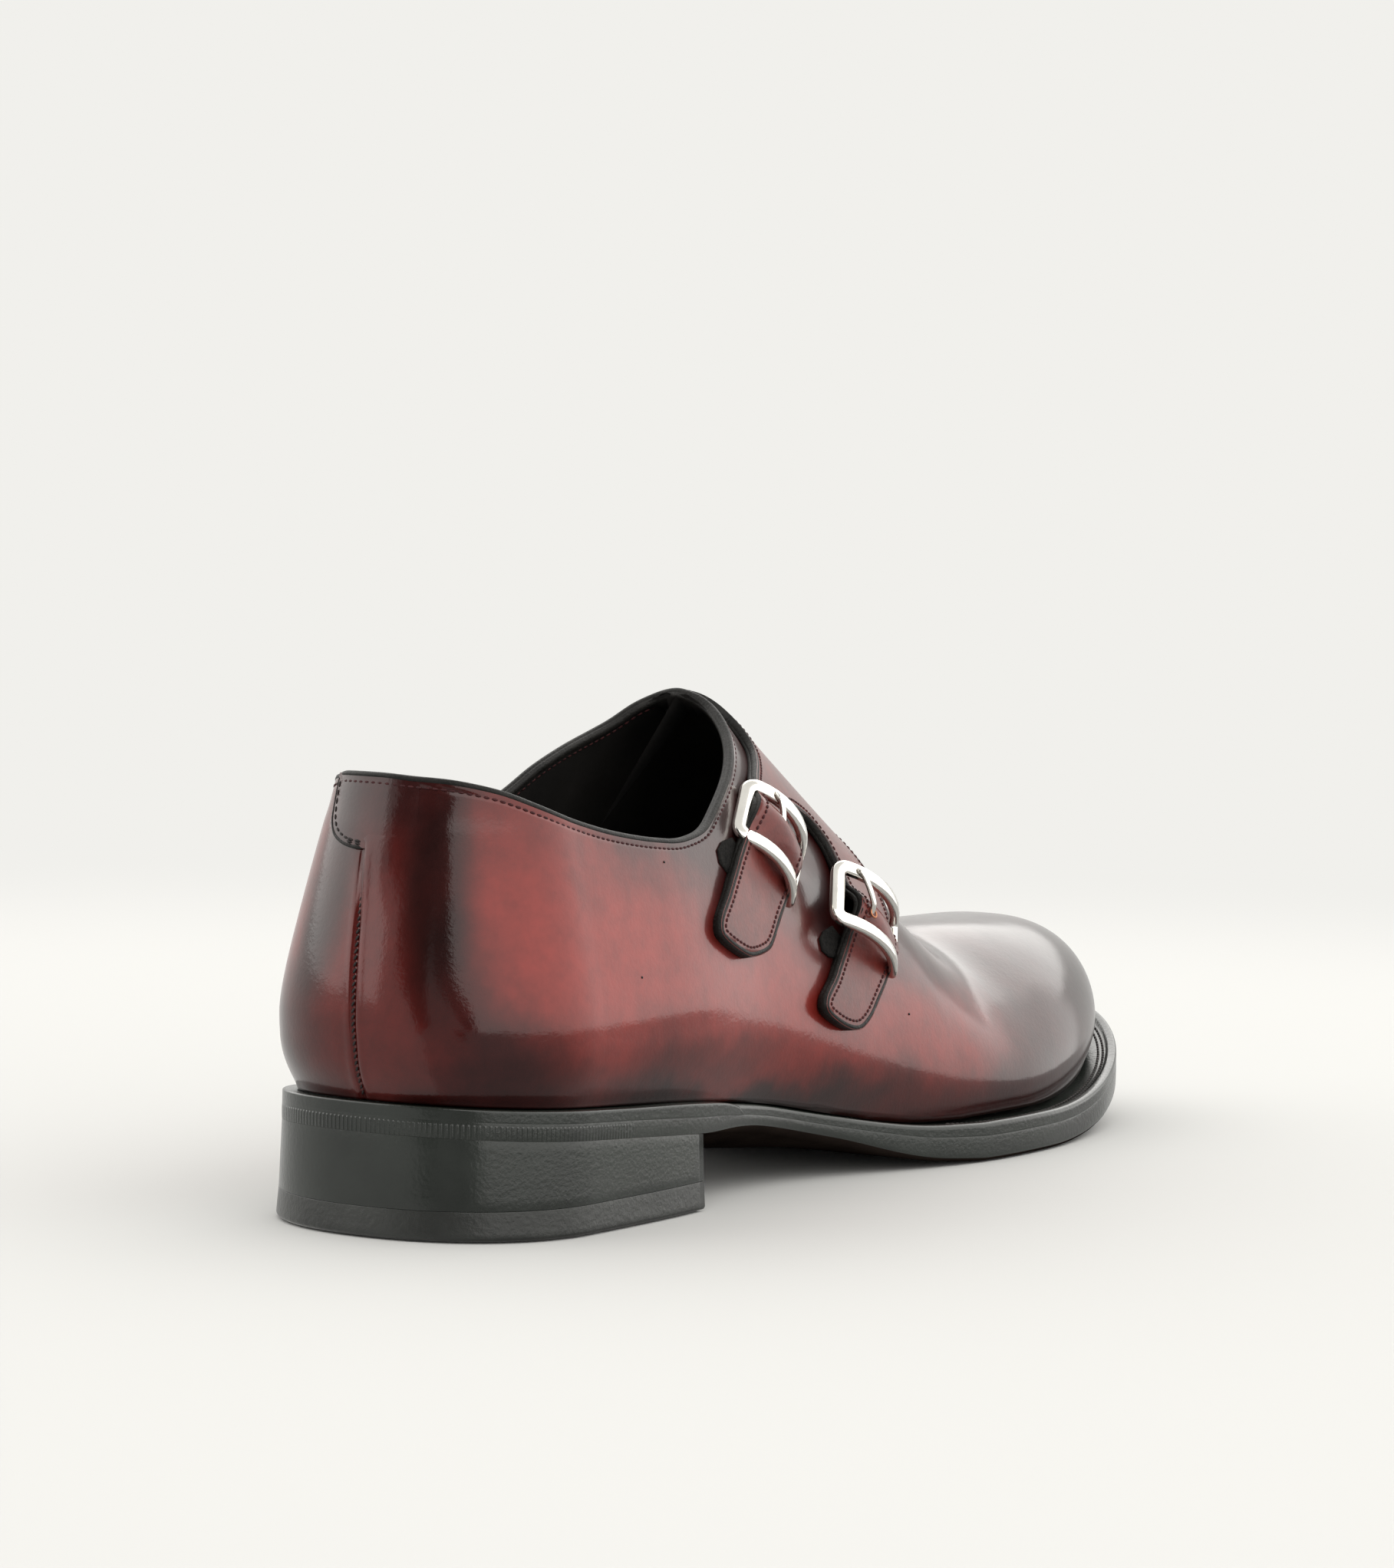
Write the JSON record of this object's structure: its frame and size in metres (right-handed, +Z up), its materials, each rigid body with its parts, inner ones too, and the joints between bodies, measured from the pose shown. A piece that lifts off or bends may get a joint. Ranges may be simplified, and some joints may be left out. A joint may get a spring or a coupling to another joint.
{
  "type": "monk strap shoe",
  "caption": "Right-foot leather dress shoe closed by straps and buckles over the instep, on a welted sole with a low stacked heel.",
  "frame": {"origin": "middle of the heel's round, on the floor, on the flat underside of the heel's top lift", "axes": "+X to the toe, +Y to the medial (inner) side, +Z up"},
  "size_m": [0.3018, 0.0977, 0.1076],
  "materials": {
    "upper_leather": "polished burgundy calf leather with a clear, glossy wax coat",
    "sole_edge": "black-green waxed leather edge, satin",
    "outsole_leather": "dark finished outsole leather, satin",
    "rubber": "black rubber, satin",
    "lining_leather": "dark red-brown smooth lining leather",
    "buckle_metal": "polished light nickel",
    "elastic": "black woven elastic"
  },
  "bodies": {
    "root": {"heel_top_lift": "rubber", "heel_stack": "sole_edge", "outsole": "outsole_leather", "heel_rand": "sole_edge", "welt": "sole_edge", "insole": "lining_leather", "upper": "upper_leather", "strap_flap": "upper_leather", "buckle_frame_rear": "buckle_metal", "buckle_frame_front": "buckle_metal", "buckle_prong_rear": "buckle_metal", "buckle_prong_front": "buckle_metal", "buckle_loop_rear": "elastic", "buckle_loop_front": "elastic"}
  },
  "joints": []
}
